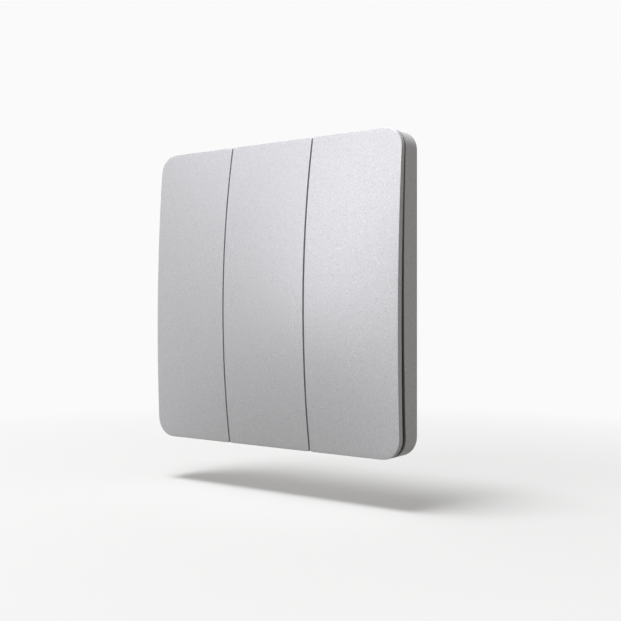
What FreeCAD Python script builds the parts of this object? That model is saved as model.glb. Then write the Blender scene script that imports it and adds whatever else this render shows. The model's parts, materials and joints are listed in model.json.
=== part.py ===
import FreeCAD, Part
import math
import os

import Sketcher
from FreeCAD import Placement, Rotation, Vector

# Battery wall remote with three keys, 86 mm square. The wall is the plane Y = 0 and the keys face -Y, with +Z
# up and +X to the right. A depth is how far a point stands out from the wall, so it lies at Y = -depth. The
# origin is the middle of the back face. Each key tips about bearings near its top edge and is pressed at its
# lower end.

doc = FreeCAD.newDocument("WallRemote")

SIZES = (
    ("face_width", 86, "width of the square front"),
    ("face_height", 86, "height of the square front"),
    ("corner_radius", 5.5, "outer corners"),
    ("rim_depth", 6.13, "depth of the housing's rim at its top and bottom edges"),
    ("rim_sagitta", 1.17, "rise of the rim's arch at mid height"),
    ("side_wall", 1.6, "side walls of the housing"),
    ("back_wall", 1.2, "back wall of the housing"),
    ("ledge_width", 1.2, "ledge inside the housing that carries the frame"),
    ("edge_break", 0.3, "chamfer of the housing's outer edges"),
    ("fit_gap", 0.15, "gap all round a plate that drops into the housing"),
    ("running_gap", 0.05, "radial gap of everything that turns or slides"),
    ("seam_gap", 0.4, "gap between two keys"),
    ("key_gap_top", 0.1, "gap between keys and rim at the top edge"),
    ("key_gap_bottom", 1.19, "gap between keys and rim at the bottom edge"),
    ("key_edge_top", 1.28, "visible thickness of a key at the top edge"),
    ("key_edge_bottom", 1.63, "visible thickness of a key at the bottom edge"),
    ("key_back_sagitta", 1.3, "rise of the keys' back edge at mid height"),
    ("side_sagitta", 1.6, "rise of the front's arc at the left and right edges"),
    ("crown_sagitta", 3.91, "rise of the front's arc in the middle"),
    ("key_skin", 1.2, "front wall of a key"),
    ("key_wall", 1.2, "side walls of a key"),
    ("key_edge_break", 0.3, "chamfer of a key's front edges"),
    ("seam_corner", 0.6, "rounding of a key's corners at the seams"),
    ("key_rib", 1, "stiffening rib inside a key"),
    ("rib_inset", 8.7, "from the bearings' height to the ends of that rib"),
    ("key_blank", 20, "depth of the blocks that the keys are cut from"),
    ("pivot_inset", 5.8, "from the top edge to the keys' bearings"),
    ("lug_spacing", 16, "distance between a key's two lugs or two hooks"),
    ("lug_thickness", 1.6, "thickness of a lug"),
    ("lug_radius", 1.3, "rounded end of a lug"),
    ("trunnion_radius", 0.8, "stub pin on the outer side of a lug"),
    ("trunnion_reach", 1.2, "how far a stub pin stands out of its lug"),
    ("bearing_wall", 0.9, "wall around a bearing"),
    ("mouth_width", 1.3, "snap-in mouth of a bearing"),
    ("hook_inset", 5, "from the bottom edge to the hooks"),
    ("hook_width", 4, "width of a hook"),
    ("hook_arm", 1.2, "thickness of a hook's arm"),
    ("hook_catch", 0.8, "reach of a hook's catch"),
    ("catch_height", 0.6, "thickness of a hook's catch"),
    ("window_gap", 0.3, "gap around what passes through a window of the frame"),
    ("switch_drop", 14, "distance of the three switches below the middle"),
    ("boss_side", 3.6, "boss of a key that meets its switch"),
    ("switch_side", 6, "side of a switch body"),
    ("switch_height", 3.4, "switch body with its cover"),
    ("cover_thickness", 0.2, "metal cover of a switch"),
    ("cavity_side", 4.6, "square cavity inside a switch"),
    ("cavity_floor", 0.8, "floor under a switch's cavity"),
    ("plunger_radius", 1.75, "plunger of a switch"),
    ("plunger_height", 0.9, "how far a plunger stands out of its cover"),
    ("dome_thickness", 0.2, "snap dome of a switch, pressed flat"),
    ("dome_width", 2.6, "snap dome of a switch"),
    ("press_travel", 0.55, "travel of a plunger"),
    ("board_gap", 3.4, "from the housing's side walls to the circuit board"),
    ("board_inset", 8.2, "from the bearings' height to the ends of the circuit board"),
    ("board_thickness", 1, "circuit board"),
    ("board_corner", 2, "corner radius of the board"),
    ("standoff_height", 0.4, "standoffs under the board"),
    ("standoff_side", 4, "standoffs under the board"),
    ("post_height", 0.6, "posts of the frame that hold the board down"),
    ("post_side", 3, "posts of the frame"),
    ("pin_radius", 0.9, "locating pins of the board"),
    ("pin_height", 0.8, "how far the locating pins reach into the board"),
    ("pin_inset", 2.3, "standoffs and pins, from the board's sides"),
    ("pin_end_inset", 2.6, "standoffs and pins, from the board's ends"),
    ("frame_thickness", 1, "plate of the inner frame"),
    ("collar_wall", 1, "collars and ribs on the frame"),
    ("collar_height", 1.2, "how far the collars stand up from the frame"),
    ("rib_height", 0.5, "how far the low collars stand up from the frame"),
    ("baffle_gap_top", 0.05, "from the frame's outer wall to the keys' back level at the top"),
    ("baffle_gap_bottom", 0.6, "from the frame's outer wall to the keys' back level at the bottom"),
    ("screw_inset", 3.05, "frame screws, from the sides of the frame"),
    ("screw_clear", 3, "frame screws, beyond the ends of the board"),
    ("screw_radius", 0.95, "shank of a frame screw"),
    ("screw_length", 3.5, "shank of a frame screw"),
    ("screw_head_radius", 1.8, "head of a frame screw"),
    ("screw_head", 0.9, "height of a frame screw's head"),
    ("recess_radius", 0.85, "cross recess in a screw's head"),
    ("recess_width", 0.35, "cross recess in a screw's head"),
    ("recess_depth", 0.45, "cross recess in a screw's head"),
    ("screw_boss", 4.4, "side of the bosses that the frame screws bite into"),
    ("screw_end_gap", 0.1, "gap under the end of a frame screw"),
    ("plate_thickness", 1.5, "wall plate"),
    ("plate_gap", 0.1, "gap between wall plate and housing"),
    ("slot_spacing", 60, "wall screws, centre to centre"),
    ("slot_length", 8, "slotted holes for the wall screws"),
    ("slot_width", 4.4, "slotted holes for the wall screws"),
    ("head_width", 8.6, "room for a wall screw's head"),
    ("head_depth", 0.5, "counterbore around a slotted hole"),
    ("head_room", 2.3, "room for the head in front of the wall plate"),
    ("dome_wall", 0.7, "front wall of that room"),
    ("pad_width", 54, "adhesive pads"),
    ("pad_height", 16, "adhesive pads"),
    ("pad_thickness", 0.8, "adhesive pads"),
    ("pad_inset", 18, "from the top and bottom edges to the pads' middles"),
    ("pad_gap", 0.4, "gap around an adhesive pad"),
    ("snap_length", 10, "snap ridges on the wall plate's four edges"),
    ("snap_reach", 0.35, "how far a snap ridge stands out"),
    ("snap_height", 0.5, "thickness of a snap ridge"),
    ("snap_depth", 0.6, "depth of a snap ridge from the wall"),
    ("notch_width", 8, "pry notch in the bottom edge"),
    ("notch_depth", 1.2, "pry notch in the bottom edge"),
    ("cell_radius", 10, "coin cell"),
    ("cell_height", 3.2, "coin cell"),
    ("cell_inset", 17, "from the board's upper end to the cell's middle"),
    ("holder_wall", 1, "thinnest wall around the cell"),
    ("holder_gap", 0.2, "gap between cell and holder"),
    ("holder_floor", 0.4, "floor of the cell holder"),
    ("holder_height", 2.8, "height of the cell holder"),
    ("contact_thickness", 0.2, "spring sheet of both contacts"),
    ("contact_width", 6, "strip over the cell"),
    ("contact_foot", 1.6, "soldered feet of the strip"),
    ("sheet_width", 8, "sheet under the cell"),
    ("sheet_length", 17, "sheet under the cell"),
    ("radio_inset", 5, "from the board's left side to the radio module"),
    ("radio_end_inset", 2, "from the board's upper end to the radio module"),
    ("radio_width", 14, "radio module"),
    ("radio_height", 16, "radio module"),
    ("radio_board", 0.6, "radio module's own board"),
    ("shield_side", 10.5, "metal can on the radio module"),
    ("shield_height", 1.4, "metal can on the radio module"),
    ("shield_wall", 0.2, "sheet of the metal can"),
)

PLACES = (
    ("plate_front", "Sizes.plate_thickness", "front of the wall plate"),
    ("wall_rear", "Sizes.plate_thickness + Sizes.plate_gap", "rear of the housing's back wall"),
    ("wall_front", "wall_rear + Sizes.back_wall", "front of the housing's back wall"),
    ("board_rear", "wall_front + Sizes.standoff_height", "rear of the board"),
    ("board_front", "board_rear + Sizes.board_thickness", "front of the board"),
    ("frame_rear", "board_front + Sizes.post_height", "rear of the frame"),
    ("frame_front", "frame_rear + Sizes.frame_thickness", "front of the frame"),
    ("inner_width", "Sizes.face_width - 2 * Sizes.side_wall", "inside of the housing"),
    ("inner_height", "Sizes.face_height - 2 * Sizes.side_wall", "inside of the housing"),
    ("inner_radius", "Sizes.corner_radius - Sizes.side_wall", "inner corners"),
    ("plate_width", "inner_width - 2 * Sizes.fit_gap", "plates that drop into the housing"),
    ("plate_height", "inner_height - 2 * Sizes.fit_gap", "plates that drop into the housing"),
    ("plate_radius", "inner_radius - Sizes.fit_gap", "plates that drop into the housing"),
    ("rim_top", "Sizes.rim_depth + Sizes.rim_sagitta", "highest point of the rim"),
    ("blank_front", "rim_top + Sizes.side_wall", "front of what the bowed cuts take away"),
    ("key_back_top", "Sizes.rim_depth + Sizes.key_gap_top", "back of the keys at the top edge"),
    ("key_back_bottom", "Sizes.rim_depth + Sizes.key_gap_bottom", "back of the keys at the bottom edge"),
    ("key_front_top", "key_back_top + Sizes.key_edge_top", "front of the keys at the top edge"),
    ("key_front_bottom", "key_back_bottom + Sizes.key_edge_bottom", "front of the keys at the bottom edge"),
    ("key_width", "(Sizes.face_width - 2 * Sizes.seam_gap) / 3", "width of a key"),
    ("key_pitch", "key_width + Sizes.seam_gap", "distance from key to key"),
    ("bearing_radius", "Sizes.trunnion_radius + Sizes.running_gap", "bore of a bearing"),
    ("pivot_depth", "frame_front - bearing_radius - Sizes.running_gap", "depth of the keys' bearings"),
    ("lug_window", "Sizes.lug_thickness + 2 * Sizes.window_gap", "window that a lug passes through"),
    ("bore_length", "Sizes.lug_thickness / 2 + Sizes.trunnion_reach + Sizes.running_gap",
     "bore of a bearing, from the lug's middle"),
    ("shoulder_sagitta", "Sizes.crown_sagitta - (Sizes.crown_sagitta - Sizes.side_sagitta)"
     " * (key_pitch / Sizes.face_width)^2", "rise of the front's arc at the seams"),
    ("pivot_height", "Sizes.face_height / 2 - Sizes.pivot_inset", "bearings above the middle"),
    ("hook_drop", "Sizes.face_height / 2 - Sizes.hook_inset", "hooks below the middle"),
    ("rib_length", "2 * (pivot_height - Sizes.rib_inset)", "stiffening rib inside a key"),
    ("board_width", "inner_width - 2 * Sizes.board_gap", "circuit board"),
    ("board_height", "2 * (pivot_height - Sizes.board_inset)", "circuit board"),
    ("pin_across", "board_width / 2 - Sizes.pin_inset", "standoffs, to each side of the middle"),
    ("pin_up", "board_height / 2 - Sizes.pin_end_inset", "standoffs, above and below the middle"),
    ("screw_across", "plate_width / 2 - Sizes.screw_inset", "frame screws, to each side of the middle"),
    ("screw_up", "board_height / 2 + Sizes.screw_clear", "frame screws, above and below the middle"),
    ("pad_up", "Sizes.face_height / 2 - Sizes.pad_inset", "adhesive pads, above and below the middle"),
    ("cell_up", "board_height / 2 - Sizes.cell_inset", "coin cell above the middle"),
    ("radio_across", "board_width / 2 - Sizes.radio_inset - Sizes.radio_width / 2", "radio, left of middle"),
    ("radio_up", "board_height / 2 - Sizes.radio_end_inset - Sizes.radio_height / 2", "radio, above middle"),
    ("switch_top", "board_front + Sizes.switch_height", "front of a switch's cover"),
    ("plunger_top", "switch_top + Sizes.plunger_height", "front of a plunger"),
    ("head_length", "Sizes.slot_length + Sizes.head_width - Sizes.slot_width", "room for the screw's head"),
    ("head_front", "plate_front + Sizes.head_room", "front of the room for the screw's head"),
    ("dome_front", "head_front + Sizes.dome_wall", "front of the wall over that room"),
    ("cell_rear", "board_front + Sizes.holder_floor + Sizes.contact_thickness", "rear of the cell"),
    ("cell_front", "cell_rear + Sizes.cell_height", "front of the cell"),
    ("cup_radius", "Sizes.cell_radius + Sizes.holder_gap", "inside of the cell holder"),
    ("holder_half", "cup_radius + Sizes.holder_wall", "half a side of the cell holder"),
    ("clip_reach", "holder_half + Sizes.holder_gap", "inside of the strip's legs from the cell's middle"),
    ("bay_width", "2 * (holder_half + Sizes.window_gap)", "opening of the frame round the cell"),
    ("bay_height", "bay_width + 2 * (Sizes.contact_thickness + Sizes.contact_foot)", "opening for the cell"),
)


def fill_sheet(name, rows, prefix):
    """One row for each value: what it is, the value, and its alias."""
    sheet = doc.addObject("Spreadsheet::Sheet", name)
    for row, (alias, value, note) in enumerate(rows, start=1):
        sheet.set(f"A{row}", note)
        sheet.set(f"B{row}", f"{prefix}{value}")
        sheet.setAlias(f"B{row}", alias)
    doc.recompute()
    return sheet


fill_sheet("Sizes", SIZES, "")
fill_sheet("Places", PLACES, "=")


def number(owner, expression):
    """The value that an expression has now, for the first drawing of a sketch."""
    return float(owner.evalExpression(str(expression)))


def bind(owner, **expressions):
    for name, expression in expressions.items():
        owner.setExpression(name.replace("__", "."), str(expression))


# Outlines, each drawn round a point of its sketch and fully constrained


def add_constraint(sketch, name, expression, kind, *where):
    index = sketch.addConstraint(Sketcher.Constraint(kind, *where, number(sketch, expression)))
    sketch.renameConstraint(index, name)
    sketch.setExpression(f"Constraints.{name}", str(expression))


def join_ends(sketch, first, count, kind):
    """Joins each edge's end to the next one's start, round the outline."""
    for edge in range(count):
        sketch.addConstraint(Sketcher.Constraint(kind, first + edge, 2, first + (edge + 1) % count, 1))


def level(sketch, first, horizontal, vertical):
    for edge in horizontal:
        sketch.addConstraint(Sketcher.Constraint("Horizontal", first + edge))
    for edge in vertical:
        sketch.addConstraint(Sketcher.Constraint("Vertical", first + edge))


def line(x1, y1, x2, y2):
    return Part.LineSegment(Vector(x1, y1, 0), Vector(x2, y2, 0))


def arc(x, y, radius, start, end):
    """Part of a circle, counterclockwise, with its angles in degrees."""
    whole = Part.Circle(Vector(x, y, 0), Vector(0, 0, 1), radius)
    return Part.ArcOfCircle(whole, math.radians(start), math.radians(end))


def add_edges(sketch, centre, edges):
    """Adds edges that are written round the origin, and gives the number of the first."""
    first = sketch.GeometryCount
    point = sketch.Geometry[centre]
    for edge in edges:
        edge.translate(Vector(point.X, point.Y, 0))
        sketch.addGeometry(edge)
    return first


def rounded_rectangle(sketch, centre, width, height, radius):
    w, h, r = (number(sketch, e) for e in (width, height, radius))
    x, y = w / 2 - r, h / 2 - r
    edges = (
        line(-x, -h / 2, x, -h / 2),
        arc(x, -y, r, -90, 0),
        line(w / 2, -y, w / 2, y),
        arc(x, y, r, 0, 90),
        line(x, h / 2, -x, h / 2),
        arc(-x, y, r, 90, 180),
        line(-w / 2, y, -w / 2, -y),
        arc(-x, -y, r, 180, 270),
    )
    first = add_edges(sketch, centre, edges)
    join_ends(sketch, first, 8, "Tangent")
    level(sketch, first, (0, 4), (2, 6))
    for edge in (3, 5, 7):
        sketch.addConstraint(Sketcher.Constraint("Equal", first + 1, first + edge))
    add_constraint(sketch, f"radius_{first}", radius, "Radius", first + 1)
    add_constraint(sketch, f"width_{first}", width, "DistanceX", first + 6, 1, first + 2, 1)
    add_constraint(sketch, f"height_{first}", height, "DistanceY", first, 1, first + 4, 1)
    sketch.addConstraint(Sketcher.Constraint("Symmetric", first + 1, 3, first + 5, 3, centre, 1))


def rectangle(sketch, centre, width, height):
    x, y = number(sketch, width) / 2, number(sketch, height) / 2
    edges = (line(-x, -y, x, -y), line(x, -y, x, y), line(x, y, -x, y), line(-x, y, -x, -y))
    first = add_edges(sketch, centre, edges)
    join_ends(sketch, first, 4, "Coincident")
    level(sketch, first, (0, 2), (1, 3))
    add_constraint(sketch, f"width_{first}", width, "DistanceX", first, 1, first, 2)
    add_constraint(sketch, f"height_{first}", height, "DistanceY", first + 1, 1, first + 1, 2)
    sketch.addConstraint(Sketcher.Constraint("Symmetric", first, 1, first + 2, 1, centre, 1))


def circle(sketch, centre, radius):
    whole = Part.Circle(Vector(), Vector(0, 0, 1), number(sketch, radius))
    first = add_edges(sketch, centre, [whole])
    sketch.addConstraint(Sketcher.Constraint("Coincident", first, 3, centre, 1))
    add_constraint(sketch, f"radius_{first}", radius, "Radius", first)


def slot(sketch, centre, length, width):
    """A slot with round ends, along the sketch's first axis."""
    r = number(sketch, width) / 2
    x = number(sketch, length) / 2 - r
    edges = (line(-x, -r, x, -r), arc(x, 0, r, -90, 90), line(x, r, -x, r), arc(-x, 0, r, 90, 270))
    first = add_edges(sketch, centre, edges)
    join_ends(sketch, first, 4, "Tangent")
    level(sketch, first, (0, 2), ())
    add_constraint(sketch, f"radius_{first}", f"({width}) / 2", "Radius", first + 1)
    spread = f"({length}) - ({width})"
    add_constraint(sketch, f"length_{first}", spread, "DistanceX", first + 3, 3, first + 1, 3)
    sketch.addConstraint(Sketcher.Constraint("Symmetric", first + 1, 3, first + 3, 3, centre, 1))


def draw(sketch, outline, places):
    """Draws an outline, given as its function and its sizes, once at each place across and up."""
    shape, *sizes = outline
    for across, up in places:
        point = Part.Point(Vector(number(sketch, across), number(sketch, up), 0))
        centre = sketch.addGeometry(point, True)
        add_constraint(sketch, f"across_{centre}", across, "DistanceX", -1, 1, centre, 1)
        add_constraint(sketch, f"up_{centre}", up, "DistanceY", -1, 1, centre, 1)
        shape(sketch, centre, *sizes)


def bowed_section(sketch, flat, top, bottom, sagitta):
    """A side view, depth across and height up: a flat side, and one bowed over a chord from top to bottom."""
    half = number(sketch, "Sizes.face_height / 2")
    low, high_end, low_end, rise = (number(sketch, e) for e in (flat, top, bottom, sagitta))
    slope = math.atan2(low_end - high_end, 2 * half)
    chord = math.hypot(low_end - high_end, 2 * half)
    r = (chord**2 / 4 + rise**2) / (2 * rise)
    x = (high_end + low_end) / 2 - (r - rise) * math.cos(slope)
    y = -(r - rise) * math.sin(slope)
    start = math.degrees(math.atan2(-half - y, low_end - x))
    end = math.degrees(math.atan2(half - y, high_end - x))
    for edge in (
        arc(x, y, r, start, end),
        line(high_end, half, low, half),
        line(low, half, low, -half),
        line(low, -half, low_end, -half),
    ):
        sketch.addGeometry(edge)
    join_ends(sketch, 0, 4, "Coincident")
    level(sketch, 0, (1, 3), (2,))
    chord_squared = f"(Sizes.face_height^2 + (({bottom}) - ({top}))^2)"
    add_constraint(sketch, "flat", flat, "DistanceX", -1, 1, 2, 1)
    add_constraint(sketch, "top", top, "DistanceX", -1, 1, 0, 2)
    add_constraint(sketch, "bottom", bottom, "DistanceX", -1, 1, 0, 1)
    add_constraint(sketch, "above", "Sizes.face_height / 2", "DistanceY", -1, 1, 0, 2)
    add_constraint(sketch, "below", "Sizes.face_height / 2", "DistanceY", 0, 1, -1, 1)
    radius = f"({chord_squared} / 4 + ({sagitta})^2) / (2 * ({sagitta}))"
    add_constraint(sketch, "radius", radius, "Radius", 0)


# Bodies, whose sketches lie on the front plane at a given depth

MIDDLE = (("0", "0"),)


def new_body(name):
    body = doc.addObject("PartDesign::Body", name)
    body.Label = name
    return body


def attached_sketch(body, name, role):
    sketch = body.newObject("Sketcher::SketchObject", name)
    plane = next(item for item in body.Origin.OriginFeatures if item.Role == role)
    sketch.AttachmentSupport = [(plane, "")]
    sketch.MapMode = "FlatFace"
    return sketch


def feature(body, kind, name, outline, depth, places):
    """A feature on a sketch that shows an outline at each of its places."""
    result = body.newObject(f"PartDesign::{kind}", f"{body.Label}_{name}")
    sketch = attached_sketch(body, f"{body.Label}_{name}_outline", "XZ_Plane")
    bind(sketch, AttachmentOffset__Base__z=depth)
    draw(sketch, outline, places)
    result.Profile = sketch
    body.Tip = result
    return result


def pad(body, name, outline, depth, thickness, places=MIDDLE):
    """Adds an outline, from a depth towards the front."""
    result = feature(body, "Pad", name, outline, depth, places)
    bind(result, Length=thickness)
    return result


def pocket(body, name, outline, depth, thickness, places=MIDDLE):
    """Cuts an outline, from a depth back towards the wall."""
    result = feature(body, "Pocket", name, outline, depth, places)
    bind(result, Length=thickness)
    return result


def bowed_pocket(body, name, top, bottom, sagitta):
    """Cuts all that stands in front of a bowed level, whose chord runs from top to bottom."""
    sketch = attached_sketch(body, f"{body.Label}_{name}_section", "YZ_Plane")
    sketch.AttachmentOffset = Placement(Vector(), Rotation(Vector(0, 1, 0), 180))
    bowed_section(sketch, "Places.blank_front", top, bottom, sagitta)
    result = body.newObject("PartDesign::Pocket", f"{body.Label}_{name}")
    result.Profile = sketch
    result.Midplane = True
    bind(result, Length="Sizes.face_width + 2 * Sizes.side_wall")
    body.Tip = result
    return result


def outline_edges(shape, rank):
    """The numbers of the edges round the face that ranks highest."""
    face = max(shape.Faces, key=rank)
    outline = [edge.hashCode() for edge in face.Edges]
    return [i for i, edge in enumerate(shape.Edges, start=1) if edge.hashCode() in outline]


def to_front(face):
    return -face.CenterOfMass.y


def to_wall(face):
    return face.CenterOfMass.y


def break_edges(body, name, base, rank):
    """Chamfers the outline of the face that ranks highest."""
    doc.recompute()
    result = body.newObject("PartDesign::Chamfer", f"{body.Label}_{name}")
    result.Base = (base, [f"Edge{i}" for i in outline_edges(base.Shape, rank)])
    bind(result, Size="Sizes.edge_break")
    body.Tip = result
    return result


# Free solids and their booleans

SIDE_VIEW = Rotation(Vector(0, -1, 0), Vector(0, 0, 1), Vector(-1, 0, 0), "ZXY")
FRONT_VIEW = Rotation(Vector(1, 0, 0), 90)
ALONG_X = Rotation(Vector(0, 1, 0), 90)


def place(owner, across, up, depth, rotation):
    owner.Placement = Placement(Vector(), rotation)
    bind(owner, Placement__Base__x=across, Placement__Base__y=f"-({depth})", Placement__Base__z=up)


def block(name, width, height, thickness, across, up, depth):
    """A box centred on a place, from a depth towards the front."""
    solid = doc.addObject("Part::Box", name)
    bind(solid, Length=width, Width=thickness, Height=height)
    bind(solid, Placement__Base__x=f"({across}) - ({width}) / 2")
    bind(solid, Placement__Base__y=f"-({depth}) - ({thickness})")
    bind(solid, Placement__Base__z=f"({up}) - ({height}) / 2")
    return solid


def rod(name, radius, length, across, up, depth):
    """A cylinder along X, centred on a place."""
    solid = doc.addObject("Part::Cylinder", name)
    bind(solid, Radius=radius, Height=length)
    place(solid, f"({across}) - ({length}) / 2", up, depth, ALONG_X)
    return solid


def join(name, shapes):
    result = doc.addObject("Part::MultiFuse", name)
    result.Shapes = shapes
    return result


def meet(name, shapes):
    result = doc.addObject("Part::MultiCommon", name)
    result.Shapes = shapes
    return result


def cut(name, base, tool):
    result = doc.addObject("Part::Cut", name)
    result.Base = base
    result.Tool = tool
    return result


def prism(name, outline, depth, thickness, places=MIDDLE):
    """An outline made solid at each of its places, from a depth towards the front."""
    sketch = doc.addObject("Sketcher::SketchObject", f"{name}_outline")
    place(sketch, "0", "0", depth, FRONT_VIEW)
    draw(sketch, outline, places)
    solid = doc.addObject("Part::Extrusion", name)
    solid.Base = sketch
    solid.DirMode = "Normal"
    solid.Solid = True
    bind(solid, LengthFwd=thickness)
    return solid


def bowed_block(name, flat, top, bottom, sagitta):
    """A bowed section made solid across the whole width."""
    sketch = doc.addObject("Sketcher::SketchObject", f"{name}_section")
    place(sketch, "Sizes.face_width / 2", "0", "0", SIDE_VIEW)
    bowed_section(sketch, flat, top, bottom, sagitta)
    solid = doc.addObject("Part::Extrusion", name)
    solid.Base = sketch
    solid.DirMode = "Normal"
    solid.Solid = True
    bind(solid, LengthFwd="Sizes.face_width")
    return solid


SIDES = (("left", -1), ("middle", 0), ("right", 1))
CORNERS = ((-1, -1), (1, -1), (1, 1), (-1, 1))
FACE = (rounded_rectangle, "Sizes.face_width", "Sizes.face_height", "Sizes.corner_radius")
INSIDE = (rounded_rectangle, "Places.inner_width", "Places.inner_height", "Places.inner_radius")
DROP_IN = (rounded_rectangle, "Places.plate_width", "Places.plate_height", "Places.plate_radius")
WALL_SLOT = (slot, "Sizes.slot_length", "Sizes.slot_width")
HEAD_ROOM = (rectangle, "Places.head_length", "Sizes.head_width")


def at_sides(across):
    return [(f"{end} * ({across})", "0") for end in (-1, 1)]


def at_ends(up):
    return [("0", f"{end} * ({up})") for end in (-1, 1)]


def at_corners(across, up):
    return [(f"{right} * ({across})", f"{upper} * ({up})") for right, upper in CORNERS]


def at_keys(up):
    return [(f"{side} * Places.key_pitch", up) for name, side in SIDES]


def at_lugs(up, outward="0"):
    """The places of the lugs or hooks, two to a key, or of what lies outward of them."""
    spread = [f"{end} * (Sizes.lug_spacing / 2 + {outward})" for end in (-1, 1)]
    return [(f"{centre} + {offset}", up) for centre, _ in at_keys(up) for offset in spread]


SCREWS = at_corners("Places.screw_across", "Places.screw_up")[1::2]
STANDOFFS = at_corners("Places.pin_across", "Places.pin_up")
PINS = STANDOFFS[::2]
WALL_SCREWS = at_sides("Sizes.slot_spacing / 2")


def make_wall_plate():
    body = new_body("wall_plate")
    pad(body, "plate", DROP_IN, "0", "Sizes.plate_thickness")
    pocket(body, "slots", WALL_SLOT, "Places.plate_front", "Sizes.plate_thickness", WALL_SCREWS)
    pocket(body, "heads", HEAD_ROOM, "Places.plate_front", "Sizes.head_depth", WALL_SCREWS)
    seat = (rectangle, "Sizes.pad_width + 2 * Sizes.pad_gap", "Sizes.pad_height + 2 * Sizes.pad_gap")
    pocket(body, "pad_seats", seat, "Sizes.pad_thickness", "Sizes.pad_thickness", at_ends("Places.pad_up"))
    root = "Sizes.corner_radius"
    reach = f"Sizes.snap_reach + {root}"
    middle = f"(Sizes.snap_reach - {root}) / 2"
    pad(body, "side_ridges", (rectangle, reach, "Sizes.snap_length"), "Sizes.snap_depth", "Sizes.snap_height",
        at_sides(f"Places.plate_width / 2 + {middle}"))
    pad(body, "end_ridges", (rectangle, "Sizes.snap_length", reach), "Sizes.snap_depth", "Sizes.snap_height",
        at_ends(f"Places.plate_height / 2 + {middle}"))
    return body


def make_adhesive_pads():
    pads = []
    outline = (rectangle, "Sizes.pad_width", "Sizes.pad_height")
    for name, spot in zip(("adhesive_pad_lower", "adhesive_pad_upper"), at_ends("Places.pad_up")):
        body = new_body(name)
        pad(body, "foam", outline, "0", "Sizes.pad_thickness", [spot])
        pads.append(body)
    return pads


def make_base_housing():
    """A tray: outer prism, arched rim, stepped inside, recess behind, bosses, standoffs, pins and grooves."""
    body = new_body("base_housing")
    whole = pad(body, "block", FACE, "0", "Places.rim_top")
    break_edges(body, "back_edge", whole, to_wall)
    arch = bowed_pocket(body, "arch", "Sizes.rim_depth", "Sizes.rim_depth", "Sizes.rim_sagitta")
    break_edges(body, "rim_edge", arch, to_front)
    pocket(body, "inside", INSIDE, "Places.rim_top", "Places.rim_top - Places.frame_rear")
    well = (
        rounded_rectangle,
        "Places.inner_width - 2 * Sizes.ledge_width",
        "Places.inner_height - 2 * Sizes.ledge_width",
        "Places.inner_radius - Sizes.ledge_width",
    )
    pocket(body, "well", well, "Places.frame_rear", "Places.frame_rear - Places.wall_front")
    pocket(body, "recess", INSIDE, "Places.wall_rear", "Places.wall_rear")
    dome = (rectangle, "Places.head_length + 2 * Sizes.dome_wall", "Sizes.head_width + 2 * Sizes.dome_wall")
    pad(body, "domes", dome, "Places.wall_rear", "Places.dome_front - Places.wall_rear", WALL_SCREWS)
    pocket(body, "head_rooms", HEAD_ROOM, "Places.head_front", "Places.head_front", WALL_SCREWS)
    reach = "2 * (Sizes.snap_reach + Sizes.running_gap - Sizes.fit_gap)"
    length = "Sizes.snap_length + 2 * Sizes.window_gap"
    front = "Sizes.snap_depth + Sizes.snap_height + Sizes.running_gap"
    height = "Sizes.snap_height + 2 * Sizes.running_gap"
    pocket(body, "side_grooves", (rectangle, reach, length), front, height,
           at_sides("Places.inner_width / 2"))
    pocket(body, "end_grooves", (rectangle, length, reach), front, height,
           at_ends("Places.inner_height / 2"))
    standoff = (rectangle, "Sizes.standoff_side", "Sizes.standoff_side")
    pad(body, "standoffs", standoff, "Places.wall_front", "Sizes.standoff_height", STANDOFFS)
    pad(body, "pins", (circle, "Sizes.pin_radius"), "Places.board_rear", "Sizes.pin_height", PINS)
    pad(body, "bosses", (rectangle, "Sizes.screw_boss", "Sizes.screw_boss"), "Places.wall_front",
        "Places.frame_rear - Places.wall_front", SCREWS)
    pocket(body, "pilots", (circle, "Sizes.screw_radius + Sizes.running_gap"), "Places.frame_rear",
           "Sizes.screw_length - Sizes.frame_thickness + Sizes.screw_end_gap", SCREWS)
    notch = (rectangle, "Sizes.notch_width", "2 * Sizes.side_wall - 2 * Sizes.fit_gap")
    pocket(body, "pry_notch", notch, "Sizes.notch_depth", "Sizes.notch_depth",
           [("0", "-Sizes.face_height / 2")])
    return body


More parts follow.
